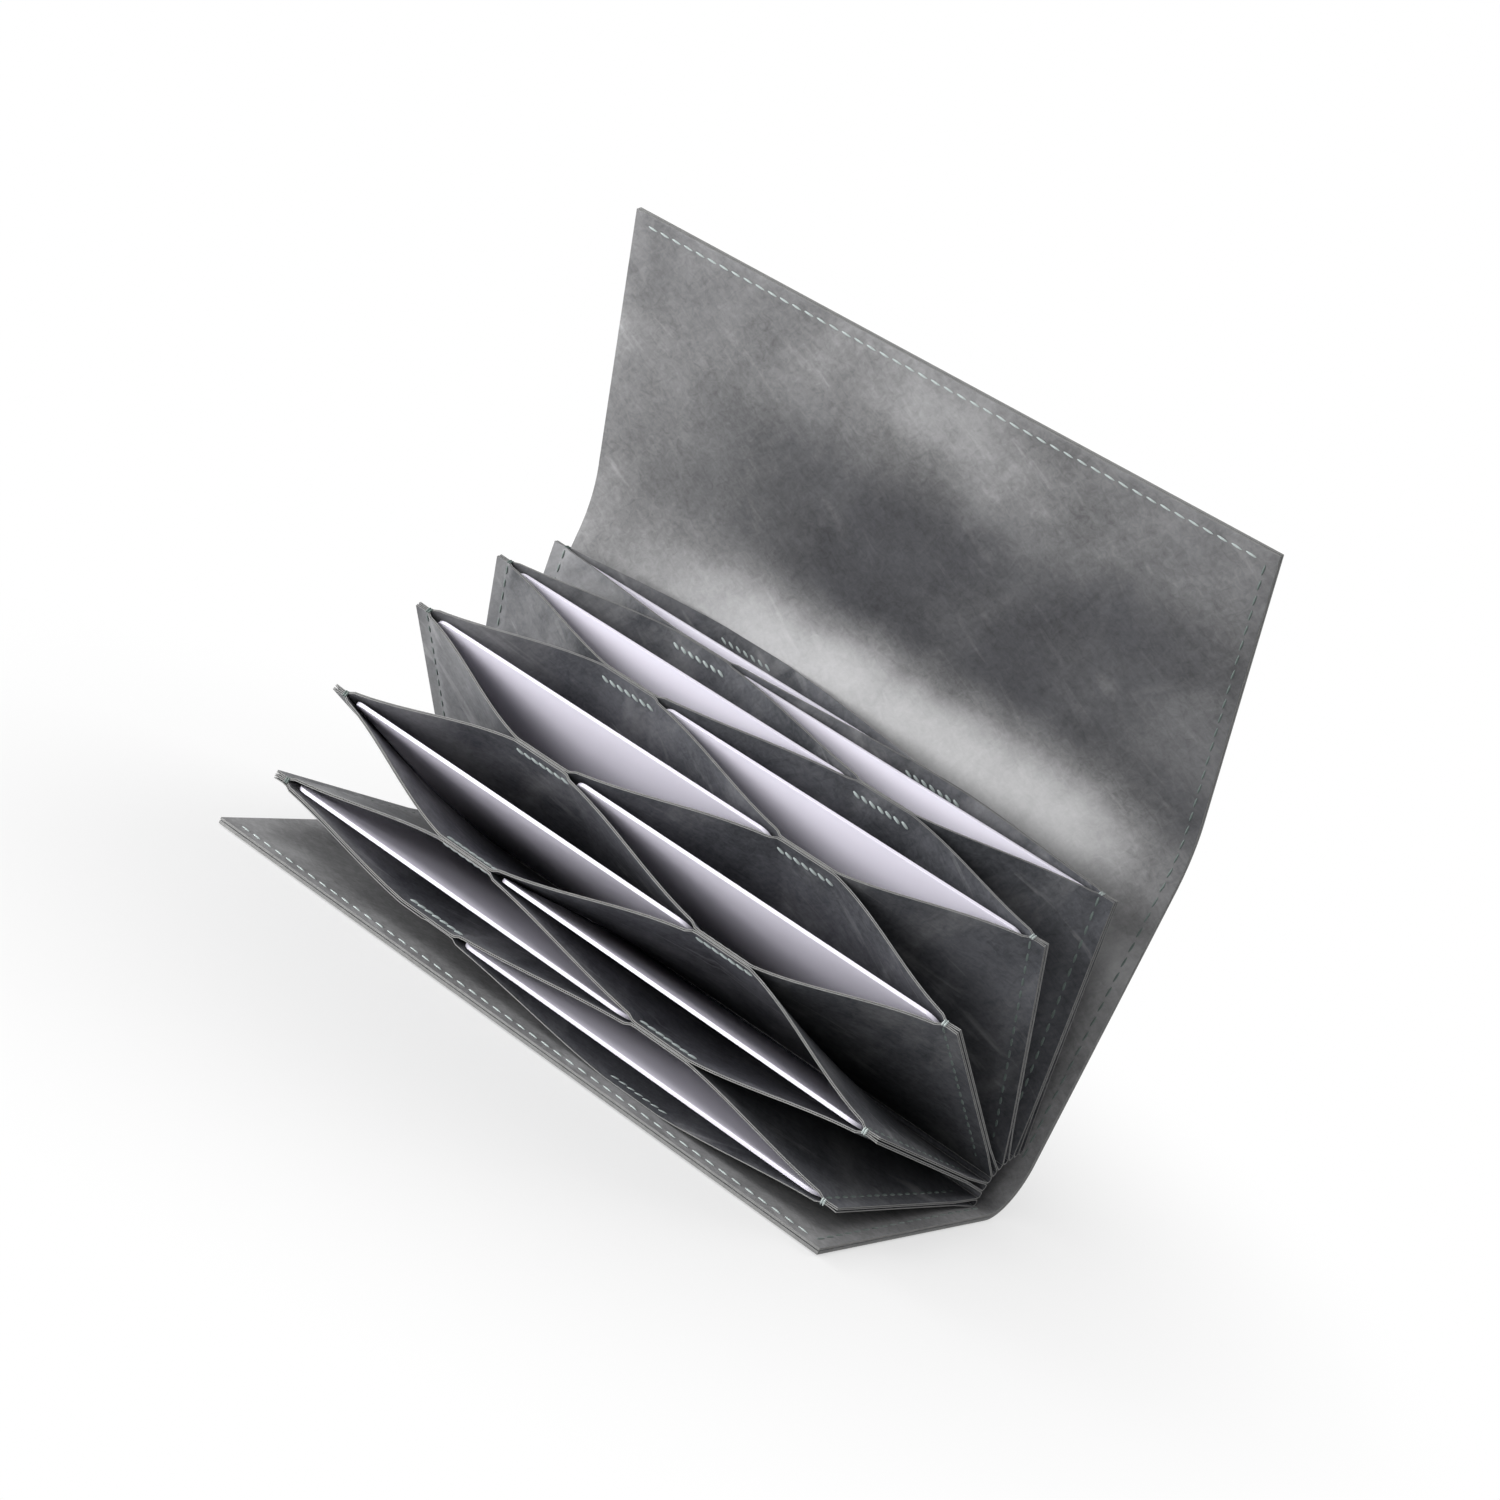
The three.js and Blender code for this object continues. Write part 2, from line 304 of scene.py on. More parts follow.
    def pressed(self, row, side, x, height):
        """How far a side seam presses a ply off its straight way, to shut the seam down to the fold."""
        s = self.sizes
        following = row + side
        is_outermost = following in (0, BACK)
        if is_outermost and x * side > s.tack_centre:
            return self.pressed(row, -side, x, height)
        is_joined = self.swing(row, x) > 0.5
        if is_joined and is_outermost:
            return 0
        leaf = following if is_joined else row
        place = self.seam_at_left(leaf, x)
        share = 1 - clamped((place + self.seam) / s.card_end_play, 0, 1)
        spread = self.half_gap - self.shut_half_gap(leaf, x)
        early = smoothstep(height, 0, s.fold_relief) - height / self.leaf_height
        return side * (1 if is_joined else -1) * share * spread * max(early, 0)

    def ply_place(self, row, side):
        """Forms a flat cut into one ply of a pocket."""
        root = self.ply_root(row, side)

        def place(x, depth, height):
            tilt = lean(root, self.ply_top(row, side, x))
            return at(x, moved(root, tilt, height, depth + self.pressed(row, side, x, height)))

        return place

    def fold_place(self, row):
        """Forms a flat strip into the round fold under a pocket."""

        def place(x, depth, height):
            turn = height / self.wall
            out = self.wall + depth
            point = moved(
                self.roots[row], self.angles[row], -out * math.sin(turn), -out * math.cos(turn)
            )
            return at(x, point)

        return place

    def leaf_place(self, row):
        """A flat shape in the plane of a leaf."""
        return lambda x, depth, height: at(x, moved(self.roots[row], self.angles[row], height, depth))

    def spine_curve(self, share):
        """A point of the spine's glue line and its direction, from level to upright."""
        first = self.spine_start.lerp(self.spine_corner, QUARTER_ROUND)
        second = self.spine_end.lerp(self.spine_corner, QUARTER_ROUND)
        rest = 1 - share
        points = (self.spine_start, first, second, self.spine_end)
        weights = (rest**3, 3 * share * rest**2, 3 * share**2 * rest, share**3)
        place = sum((point * weight for point, weight in zip(points, weights)), Vector((0, 0)))
        slopes = (rest**2, 2 * share * rest, share**2)
        heading = sum(
            ((b - a) * slope for a, b, slope in zip(points, points[1:], slopes)), Vector((0, 0))
        )
        return place, heading.normalized()

    def cover_place(self, x, depth, run):
        """The cover about its glue line, by the run of its leather behind the front panel."""
        if run <= 0:
            return at(x, self.spine_start + Vector((run, -depth)))
        if run < self.spine_length:
            point, heading = self.spine_curve(run / self.spine_length)
            return at(x, point + Vector((heading.y, -heading.x)) * depth)
        reach = self.sizes.bend_reach
        low = self.bend_run - reach
        radius = reach / math.tan(self.flap_lean / 2)
        centre = self.spine_end + Vector((-radius, low - self.spine_length))
        angle = math.pi / 2 - clamped((run - low) / (2 * reach), 0, 1) * self.flap_lean
        straight = min(run - low, 0) + max(run - low - 2 * reach, 0)
        return at(x, moved(centre + across(angle) * radius, angle, straight, depth))

    def fold_ends(self, run, depth):
        """Where the leather starts and stops to give at a fold of the flap."""
        reach = self.sizes.fold_reach
        return [self.cover_place(0, depth, end) for end in (run - reach, run + reach)]

    def face_ply(self, row, side, x):
        """The outermost ply on one side of a leaf's seam or tack, as its row and side."""
        following = row + side
        if following in (0, BACK):
            return row, side
        if following + side in (0, BACK) and x * side > self.sizes.tack_centre:
            return following, side
        return following, -side


# Cutting, forming and sewing


def select_only(piece):
    bpy.ops.object.select_all(action="DESELECT")
    piece.select_set(True)
    bpy.context.view_layer.objects.active = piece


def apply_modifier(piece, kind, **settings):
    select_only(piece)
    bpy.ops.object.modifier_add(type=kind)
    modifier = piece.modifiers[-1]
    for key, value in settings.items():
        setattr(modifier, key, value)
    bpy.ops.object.modifier_apply(modifier=modifier.name)


def join(name, pieces):
    select_only(pieces[0])
    for piece in pieces:
        piece.select_set(True)
    if len(pieces) > 1:
        bpy.ops.object.join()
    joined = bpy.context.object
    joined.name = name
    return joined


def mark_hide(piece, hide):
    """Keeps the flat places of a cut, so that the grain of its hide follows the leather."""
    places = piece.data.attributes.new("hide_place", "FLOAT_VECTOR", "POINT")
    for vertex, place in zip(piece.data.vertices, places.data):
        place.vector = (vertex.co.x, vertex.co.z, hide)


def mark_wear_and_shading(piece, marks):
    """Soft marks: above 0 paler, for stretched leather and for painted highlights, below 0 darker, for
    painted shade and other dark patches.
    """
    wear_and_shading = piece.data.attributes.new("wear_and_shading", "FLOAT", "POINT")
    for vertex, value in zip(piece.data.vertices, wear_and_shading.data):
        for x, run, x_reach, run_reach, strength in marks:
            beside = 1 - smoothstep(abs(vertex.co.x - x), MARK_CORE * x_reach, x_reach)
            above = 1 - smoothstep(abs(vertex.co.z - run), MARK_CORE * run_reach, run_reach)
            value.value += strength * beside * above


def cut_leather(name, x_range, z_range, thick, columns, rows, finishes, hide):
    """A flat cut of leather with its length on X, its thickness on Y and its height on Z."""
    bpy.ops.object.select_all(action="DESELECT")
    bpy.ops.mesh.primitive_grid_add(
        x_subdivisions=columns,
        y_subdivisions=rows,
        size=1,
        location=(sum(x_range) / 2, 0, sum(z_range) / 2),
        rotation=(math.pi / 2, 0, 0),
    )
    piece = bpy.context.object
    piece.name = name
    piece.scale = (x_range[1] - x_range[0], z_range[1] - z_range[0], 1)
    bpy.ops.object.transform_apply(location=True, rotation=True, scale=True)
    apply_modifier(piece, "SOLIDIFY", thickness=thick, offset=0)
    for finish in finishes:
        piece.data.materials.append(finish)
    # The second finish is for the cut edges
    for face in piece.data.polygons:
        face.material_index = int(abs(face.normal.y) < 0.5)
    mark_hide(piece, hide)
    return piece


def round_rim(piece, radius, splits=()):
    """Rounds the cut edges of a flat piece, but not at the heights where it runs on into the next."""
    select_only(piece)
    bpy.ops.object.mode_set(mode="EDIT")
    bpy.ops.mesh.select_mode(type="EDGE")
    bpy.ops.mesh.select_all(action="DESELECT")
    mesh = bmesh.from_edit_mesh(piece.data)
    for edge in mesh.edges:
        heights = [vertex.co.z for vertex in edge.verts]
        is_split = any(
            max(abs(height - split) for height in heights) < SAME_HEIGHT for split in splits
        )
        edge.select_set(edge.calc_face_angle() > CUT_ANGLE and not is_split)
    bmesh.update_edit_mesh(piece.data)
    bpy.ops.mesh.bevel(offset=radius, segments=2, affect="EDGES", clamp_overlap=True)
    bpy.ops.object.mode_set(mode="OBJECT")


def form(piece, place):
    """Moves every point of a flat piece to its place in the case."""
    for vertex in piece.data.vertices:
        vertex.co = place(*vertex.co)
    select_only(piece)
    bpy.ops.object.mode_set(mode="EDIT")
    bpy.ops.mesh.select_all(action="SELECT")
    bpy.ops.mesh.normals_make_consistent(inside=False)
    bpy.ops.object.mode_set(mode="OBJECT")
    bpy.ops.object.shade_smooth_by_angle(angle=SMOOTH_ANGLE)
    return piece


def sew(name, start, step, count, stitch, radius, turn, place, finish):
    """A straight row of stitches, laid flat and then formed like the leather it is sewn to."""
    bpy.ops.object.select_all(action="DESELECT")
    bpy.ops.mesh.primitive_uv_sphere_add(segments=8, ring_count=6, radius=1)
    row = bpy.context.object
    row.name = name
    heading = Vector(step).to_track_quat("Z", "Y").to_matrix()
    slant = Matrix.Rotation(turn, 3, "Y")
    shape = slant @ heading @ Matrix.Diagonal((radius, radius, stitch / 2))
    row.data.transform(Matrix.Translation(start) @ shape.to_4x4())
    apply_modifier(
        row,
        "ARRAY",
        count=count,
        use_relative_offset=False,
        use_constant_offset=True,
        constant_offset_displace=step,
    )
    row.data.materials.append(finish)
    return form(row, place)


# Finishes


def add_node(tree, kind, inputs=None, **settings):
    """Adds a node, with its settings, and sets or links its inputs."""
    node = tree.nodes.new(kind)
    for key, value in settings.items():
        setattr(node, key, value)
    for key, value in (inputs or {}).items():
        if isinstance(value, bpy.types.NodeSocket):
            tree.links.new(value, node.inputs[key])
        else:
            node.inputs[key].default_value = value
    return node


def new_finish(name):
    finish = bpy.data.materials.new(name)
    finish.use_nodes = True
    return finish.node_tree, finish.node_tree.nodes["Principled BSDF"]


def opaque(rgb):
    return (*rgb, 1)


def make_leather(name, dark, light, streak_and_shade_dark, pale):
    """Pull-up leather: cloudy from handling, with a short nap, pale where it is stretched, and with
    painted highlights and painted shade where it is marked.
    """
    tree, shader = new_finish(name)
    hide = add_node(tree, "ShaderNodeAttribute", attribute_name="hide_place").outputs["Vector"]
    noise, mix, ranged = "ShaderNodeTexNoise", "ShaderNodeMix", "ShaderNodeMapRange"
    turned, reckoned = "ShaderNodeMapping", "ShaderNodeMath"

    # The nap is short fibres that cross each other, and the clouds are as wide as a thumb
    nap_width, cloud_width = 1.5 * MM, 22 * MM
    fibres = []
    for turn in (-25, 50):
        lie = {"Vector": hide, "Rotation": (0, 0, math.radians(turn)), "Scale": (1.8, 1, 1)}
        brushed = add_node(tree, turned, lie, vector_type="TEXTURE").outputs[0]
        fibre = {"Vector": brushed, "Scale": 1 / nap_width, "Detail": 4}
        fibre.update({"Roughness": 0.65, "Distortion": 1.2})
        fibres.append(add_node(tree, noise, fibre).outputs[0])
    nap = add_node(tree, mix, {0: 0.5, 2: fibres[0], 3: fibres[1]}).outputs[0]
    clouds = add_node(tree, noise, {"Vector": hide, "Scale": 1 / cloud_width, "Detail": 5}).outputs[0]
    tone = add_node(tree, mix, {0: 0.55, 2: clouds, 3: nap}).outputs[0]
    lightness = add_node(tree, ranged, {0: tone, 1: 0.37, 2: 0.63}).outputs[0]
    clouded = {0: lightness, 6: opaque(dark), 7: opaque(light)}
    ground = add_node(tree, mix, clouded, data_type="RGBA").outputs[2]

    # Marks, painted light and shade among them, have streaky edges, because the leather is brushed one
    # way
    streak_width, scuff_width = 15 * MM, 5 * MM
    slanted = {"Vector": hide, "Rotation": (0, 0, math.radians(60)), "Scale": (2.2, 1, 1)}
    stroke = add_node(tree, turned, slanted, vector_type="TEXTURE").outputs[0]
    strokes = {"Vector": stroke, "Scale": 1 / streak_width, "Detail": 6}
    strokes.update({"Roughness": 0.6, "Distortion": 0.5})
    streaks = add_node(tree, noise, strokes).outputs[0]
    spread = add_node(tree, ranged, {0: streaks, 1: 0.3, 2: 0.7, 3: -0.2, 4: 0.2}).outputs[0]

    # Handling leaves long pale scuffs that cross the streaks
    drawn = {"Vector": hide, "Rotation": (0, 0, math.radians(-30)), "Scale": (4.5, 1, 1)}
    line = add_node(tree, turned, drawn, vector_type="TEXTURE").outputs[0]
    lines = {"Vector": line, "Scale": 1 / scuff_width, "Detail": 3, "Distortion": 1.0}
    rubbed = add_node(tree, noise, lines).outputs[0]
    scuffs = add_node(tree, ranged, {0: rubbed, 1: 0.6, 2: 0.8, 3: 0.0, 4: 0.35}).outputs[0]
    rough = add_node(tree, reckoned, {0: spread, 1: scuffs}, operation="ADD").outputs[0]

    # Below 0 the leather turns darker, in dark streaks and in painted shade, and above 0 it turns pale,
    # in scuffs, on stretched leather and in painted highlights
    mark = add_node(tree, "ShaderNodeAttribute", attribute_name="wear_and_shading").outputs["Fac"]
    wear_and_shading = add_node(tree, reckoned, {0: mark, 1: rough}, operation="ADD").outputs[0]
    below = {0: wear_and_shading, 1: -1.0}
    streak_and_shade_share = add_node(tree, reckoned, below, operation="MULTIPLY", use_clamp=True).outputs[0]
    darkening = {0: streak_and_shade_share, 6: ground, 7: opaque(streak_and_shade_dark)}
    streaked_and_shaded = add_node(tree, mix, darkening, data_type="RGBA", blend_type="MULTIPLY").outputs[2]
    dull = opaque([share * 0.8 for share in pale])
    paled = {0: lightness, 6: dull, 7: opaque(pale)}
    retoned = add_node(tree, mix, paled, data_type="RGBA").outputs[2]
    tint = add_node(tree, mix, {0: wear_and_shading, 6: streaked_and_shaded, 7: retoned}, data_type="RGBA").outputs[2]

    # The grain is fine and shallow, and brushed places shine a little more
    grain_width = 0.5 * MM
    grain = add_node(tree, noise, {"Vector": hide, "Scale": 1 / grain_width, "Detail": 2}).outputs[0]
    shine = add_node(tree, ranged, {0: tone, 1: 0.3, 2: 0.7, 3: 0.75, 4: 0.55}).outputs[0]
    relief = {"Strength": 0.35, "Distance": 0.05 * MM, "Height": grain}
    surface = add_node(tree, "ShaderNodeBump", relief).outputs[0]
    tree.links.new(tint, shader.inputs["Base Color"])
    tree.links.new(shine, shader.inputs["Roughness"])
    tree.links.new(surface, shader.inputs["Normal"])
    shader.inputs["Specular IOR Level"].default_value = 0.3


def make_plain(name, rgb, roughness, patch, strength):
    """A finish of one colour whose faint patches keep it from looking like paint."""
    tree, shader = new_finish(name)
    place = add_node(tree, "ShaderNodeTexCoord").outputs["Object"]
    patches = add_node(tree, "ShaderNodeTexNoise", {"Vector": place, "Scale": 1 / patch, "Detail": 2})
    darker = opaque([share * (1 - strength) for share in rgb])
    tint = add_node(
        tree, "ShaderNodeMix", {0: patches.outputs[0], 6: darker, 7: opaque(rgb)}, data_type="RGBA"
    )
    tree.links.new(tint.outputs[2], shader.inputs["Base Color"])
    shader.inputs["Roughness"].default_value = roughness


class CARDCASE_OT_finishes(bpy.types.Operator):
    """Mixes the finishes of the leather, the thread and the cards"""

    bl_idname = "cardcase.finishes"
    bl_label = "Finishes"

    def execute(self, context):
        c = context.scene.card_case_colours
        # Mid grey and weathered, so that the outside and the lining read as the same hide
        make_leather("brushed_outer", c.outer_dark, c.outer_light, c.streak_and_shade_dark, c.stretch_and_highlight_pale)
        make_leather("brushed_lining", c.lining_dark, c.lining_light, c.streak_and_shade_dark, c.stretch_and_highlight_pale)
        # Darker and cloudier: the same hide in painted shade, so that the pockets read as deep
        make_leather("shaded_pocket", c.shaded_pocket_dark, c.shaded_pocket_light, c.streak_and_shade_dark, c.stretch_and_highlight_pale)
        # Pale and dull, so that every cut edge draws a thin line
        make_plain("raw_edge", c.raw_edge, 0.85, 1.5 * MM, 0.35)
        # Grey-green painted paler than the thread is, as a painted highlight, with a dull shine, so
        # that the stitches stand out from the leather
        make_plain("lit_waxed_thread", c.thread, 0.45, 0.8 * MM, 0.4)
        # The same thread painted darker, as painted shade where it sinks into its holes and where it
        # faces away from the left light, so that the side seams stay quiet
        make_plain("shaded_thread", c.shaded_side_thread, 0.6, 0.8 * MM, 0.4)
        # White and half glossy, so that the cards are the brightest thing in the case
        make_plain("blank_card", c.card, 0.4, 40 * MM, 0.03)
        return {"FINISHED"}


# Pieces


class CARDCASE_OT_cover(bpy.types.Operator):
    """Cuts the lining and the outer leather of the cover and forms them round the fan"""

    bl_idname = "cardcase.cover"
    bl_label = "Cover"

    def execute(self, context):
        case = Layout(context.scene.card_case_sizes)
        s = case.sizes
        middle = case.bridge_middle
        half = case.cover_half
        # Each mark has its place and its reach along X and along the run, and its strength
        # Painted highlight below the bend of the flap, where the top light falls on the upright
        # leather; painted shade above the bend, where the leaves keep off the light from the floor, and
        # down the right-hand side, away from the left light; darker at the top left corner and paler at
        # the free edge
        inside = (
            (0.22 * half, case.bend_run - 11 * MM, 1.2 * half, 24 * MM, 0.95),
            (0.19 * half, case.bend_run + 23 * MM, 1.25 * half, 30 * MM, -0.95),
            (0.05 * half, case.bend_run + 57 * MM, 0.45 * half, 9 * MM, 0.12),
            (-0.85 * half, case.bend_run + 57 * MM, 0.6 * half, 16 * MM, -0.3),
            (0.9 * half, case.bend_run + 50 * MM, 0.6 * half, 22 * MM, -0.4),
            (1.05 * half, case.bend_run - 4 * MM, 0.4 * half, 22 * MM, -0.7),
        )
        # Pale where the outside is stretched over the spine and over the bend of the flap
        outside = (
            (0, case.spine_length / 2, 4 * half, 0.8 * case.spine_length, 0.2),
            (0, case.bend_run, 4 * half, 9 * MM, 0.25),
        )
        layers = (
            ("lining", -(s.glue_gap + s.lining_leather) / 2, s.lining_leather, LINING_HIDE, inside),
            ("outer", (s.glue_gap + s.outer_leather) / 2, s.outer_leather, OUTER_HIDE, outside),
        )
        for layer, depth, thick, hide, marks in layers:
            finishes = [bpy.data.materials[f"brushed_{layer}"], bpy.data.materials["raw_edge"]]

            def cut(name, low, high, rows, splits):
                sides, columns = (-half, half), 24
                piece = cut_leather(name, sides, (low, high), thick, columns, rows, finishes, hide)
                mark_wear_and_shading(piece, marks)
                round_rim(piece, thick * LEATHER_ROUNDING, splits)
                form(piece, lambda x, y, run: case.cover_place(x, depth + y, run))
                return piece

            front = cut(f"front_{layer}_leather", -case.front_depth, 0, rows=8, splits=[0])
            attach(front, "front_cover")
            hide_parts(f"front_panel_{layer}")

            ends = [case.spine_length * row / BACK for row in range(BACK + 1)]
            for row, (low, high) in enumerate(zip(ends, ends[1:])):
                strip = cut(f"spine_{layer}_leather_{row:02d}", low, high, rows=2, splits=[low, high])
                start, end = (case.cover_place(0, depth, run) for run in (low, high))
                body_of(row)
                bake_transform(strip)
                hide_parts(f"spine_{layer}")

            # The back panel and the flap have rows enough for a round fold
            splits = [ends[-1], middle]
            back = cut(f"back_{layer}_leather", ends[-1], middle, rows=84, splits=splits)
            start, end = case.fold_ends(case.bend_run, depth)
            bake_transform(back)
            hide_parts(f"back_panel_{layer}", f"flap_bridge_{layer}")

            flap = cut(f"flap_{layer}_leather", middle, case.end_run, rows=60, splits=[middle])
            start, end = case.fold_ends(case.tip_run, depth)
            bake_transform(flap)
            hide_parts(f"flap_bridge_{layer}", f"flap_panel_{layer}")
        return {"FINISHED"}


class CARDCASE_OT_pockets(bpy.types.Operator):
    """Cuts the plies of the pockets and swings them from leaf to leaf"""

    bl_idname = "cardcase.pockets"
    bl_label = "Pockets"

    def execute(self, context):
        case = Layout(context.scene.card_case_sizes)
        s = case.sizes
        finishes = [bpy.data.materials["shaded_pocket"], bpy.data.materials["raw_edge"]]
        # Name, ends, where the swing starts and stops, and columns of each part of a ply
        segments = (
            ("left", -case.leaf_half, -s.tack_centre, -case.seam, -case.tack_end, 40),
            ("middle", -s.tack_centre, s.tack_centre, -case.tack_start, case.tack_start, 48),
            ("right", s.tack_centre, case.leaf_half, case.tack_end, case.seam, 40),
        )
        ply_rows = 6
        # Painted highlight at the left, where the left light falls on the open ends of the pockets
        marks = [(-case.leaf_half, case.leaf_height, 36 * MM, 3 * case.leaf_height, 0.27)]
        for row in range(1, BACK + 1):
            for part, low, high, start, end, columns in segments:
                if (row, part) in ((1, "left"), (BACK, "right")):
                    continue
                plies = [(row - 1, BACK_SIDE), (row, FRONT_SIDE)]
                plies = [(pocket, side) for pocket, side in plies if 0 < pocket < BACK]
                if (row, part) == (2, "left"):
                    plies.append((1, FRONT_SIDE))
                if (row, part) == (POCKETS, "right"):
                    plies.append((POCKETS, BACK_SIDE))
                cuts = []
                for pocket, side in plies:
                    hide = POCKET_HIDE + pocket + 0.5 * side
                    heights = (0, case.leaf_height)
                    ply = cut_leather(
                        "ply", (low, high), heights, s.pared_ply, columns, ply_rows, finishes, hide
                    )
                    mark_wear_and_shading(ply, marks)
                    place = case.ply_place(pocket, side)
                    pared = side * (s.pocket_ply - s.pared_ply) / 2
                    cuts.append(form(ply, lambda x, y, height: place(x, y + pared, height)))
                divider = join(f"divider_{row:02d}_{part}", cuts)
                holders = [row - 1 if case.swing(row, x) > 0.5 else row for x in (start, end)]
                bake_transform(divider)
                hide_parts(*sorted({f"pocket_{pocket:02d}" for pocket, side in plies}))
        sides, heights = (-case.leaf_half, case.leaf_half), (0, math.pi * case.wall)
        columns, fold_rows = 12, 8
        for row in range(1, BACK):
            name, hide = f"pocket_{row:02d}_fold", POCKET_HIDE + row
            fold = cut_leather(name, sides, heights, s.pocket_ply, columns, fold_rows, finishes, hide)
            form(fold, case.fold_place(row))
            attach(fold, body_of(row))
            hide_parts(f"pocket_{row:02d}")
        return {"FINISHED"}


class CARDCASE_OT_cards(bpy.types.Operator):
    """Stands a blank card in every pocket, against the pocket's seam"""

    bl_idname = "cardcase.cards"
    bl_label = "Cards"

    def execute(self, context):
        case = Layout(context.scene.card_case_sizes)
        s = case.sizes
        for row in range(1, BACK):
            centre = case.seam_side(row) * (case.seam - s.card_end_play - s.card_length / 2)
            location = (centre, 0, s.card_lift + s.card_width / 2)
            bpy.ops.object.select_all(action="DESELECT")
            bpy.ops.mesh.primitive_plane_add(size=1, location=location, rotation=(math.pi / 2, 0, 0))
            card = bpy.context.object
            card.name = f"card_{row:02d}_blank"
            card.scale = (s.card_length, s.card_width, 1)
            bpy.ops.object.transform_apply(location=True, rotation=True, scale=True)
            bpy.ops.object.mode_set(mode="EDIT")
            bpy.ops.mesh.select_all(action="SELECT")
            bpy.ops.mesh.bevel(offset=s.card_corner, segments=8, affect="VERTICES")
            bpy.ops.object.mode_set(mode="OBJECT")
            apply_modifier(card, "SOLIDIFY", thickness=s.card_thick, offset=0)
            round_rim(card, s.card_thick * CARD_ROUNDING)
            card.data.materials.append(bpy.data.materials["blank_card"])
            form(card, case.leaf_place(row))
            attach(card, f"card_{row:02d}")
            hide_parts(f"card_{row:02d}")
        return {"FINISHED"}


class CARDCASE_OT_thread(bpy.types.Operator):
    """Sews the seams and tacks of the leaves and the edges of the cover"""

    bl_idname = "cardcase.thread"
    bl_label = "Thread"

    def execute(self, context):
        case = Layout(context.scene.card_case_sizes)
        s = case.sizes
        # The paler thread carries a painted highlight, and the darker one painted shade
        thread, retoned = (bpy.data.materials[name] for name in ("lit_waxed_thread", "shaded_thread"))

        def tack(pocket, side, depth, x_centre):
            count = round(s.tack_length / s.tack_stitch)
            start = (x_centre - (count - 1) / 2 * s.tack_stitch, depth, case.leaf_height - s.tack_drop)
            step = (s.tack_stitch, 0, 0)
            place = case.ply_place(pocket, side)
            double = TACK_THREAD * s.thread_radius
            return sew("tack", start, step, count, s.tack_stitch, double, TACK_SLANT, place, thread)

        for row in range(1, BACK):
            seam_side = case.seam_side(row)
            loop_thread = retoned if seam_side == LEFT else thread
            rows = []
            for side in (FRONT_SIDE, BACK_SIDE):
                depth = side * s.pocket_ply / 2
                seam_x = seam_side * case.seam
                pocket, ply_side = case.face_ply(row, side, seam_x)
                count = int((case.leaf_height - s.long_stitch) / s.long_stitch)
                start = (seam_x, depth, case.leaf_height - (count - 0.5) * s.long_stitch)
                step = (0, 0, s.long_stitch)
                long = s.long_stitch * SEAM_SHOWN
                place = case.ply_place(pocket, ply_side)
                rows.append(sew("seam", start, step, count, long, s.thread_radius, 0, place, retoned))
                tack_x = -seam_side * s.tack_centre
                pocket, ply_side = case.face_ply(row, side, tack_x)
                rows.append(tack(pocket, ply_side, depth, tack_x))
            wide = 2 * (2 * s.pocket_ply + s.glue_gap + s.seam_gap)
            place = case.leaf_place(row)
            for strand in (-s.thread_radius, s.thread_radius):
                over = (seam_side * case.seam + strand, 0, case.leaf_height)
                step = (0, wide, 0)
                rows.append(sew("over", over, step, 1, wide, s.thread_radius, 0, place, loop_thread))
            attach(join(f"leaf_{row:02d}_thread", rows), body_of(row))

        # These two lie against a card when the case is shut, so they are pulled into the leather
        sunk = (s.pocket_ply - s.pared_ply) / 2
        first = tack(1, FRONT_SIDE, -sunk, s.tack_centre)
        first.name = "front_tack_thread"
        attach(first, "front_cover")
        last = tack(POCKETS, BACK_SIDE, sunk, -s.tack_centre)
        last.name = "back_tack_thread"
        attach(last, "back_cover")

        faces = (-s.glue_gap / 2 - s.lining_leather, s.glue_gap / 2 + s.outer_leather)
        side_x = case.cover_half - s.cover_inset
        long = s.long_stitch * COVER_SHOWN
        thin = COVER_THREAD * s.thread_radius

        def edge(depth, run):
            """A row of stitches along a free edge."""
            count = int(2 * side_x / s.long_stitch)
            start = (side_x - count * s.long_stitch, depth, run)
            step = (s.long_stitch, 0, 0)
            return sew("edge", start, step, count, long, thin, COVER_SLANT, case.cover_place, thread)

        def side(depth, low, high):
            """A row of stitches along the right-hand edge."""
            count = int((high - low) / s.long_stitch)
            start = (side_x, depth, low + s.long_stitch / 2)
            step = (0, 0, (high - low) / count)
            return sew("side", start, step, count, long, thin, COVER_SLANT, case.cover_place, retoned)

        front_run = s.cover_inset - case.front_depth
        front = [edge(depth, front_run) for depth in faces]
        front += [side(depth, front_run, 0) for depth in faces]
        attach(join("front_thread", front), "front_cover")

        middle = case.bridge_middle
        back = join("back_thread", [side(depth, case.spine_length, middle) for depth in faces])
        start, end = case.fold_ends(case.bend_run, 0)
        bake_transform(back)

        tip_run = case.end_run - s.cover_inset
        flap = [edge(depth, tip_run) for depth in faces]
        flap += [side(depth, middle, tip_run) for depth in faces]
        flap = join("flap_thread", flap)
        start, end = case.fold_ends(case.tip_run, 0)
        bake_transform(flap)
        return {"FINISHED"}


# Stage


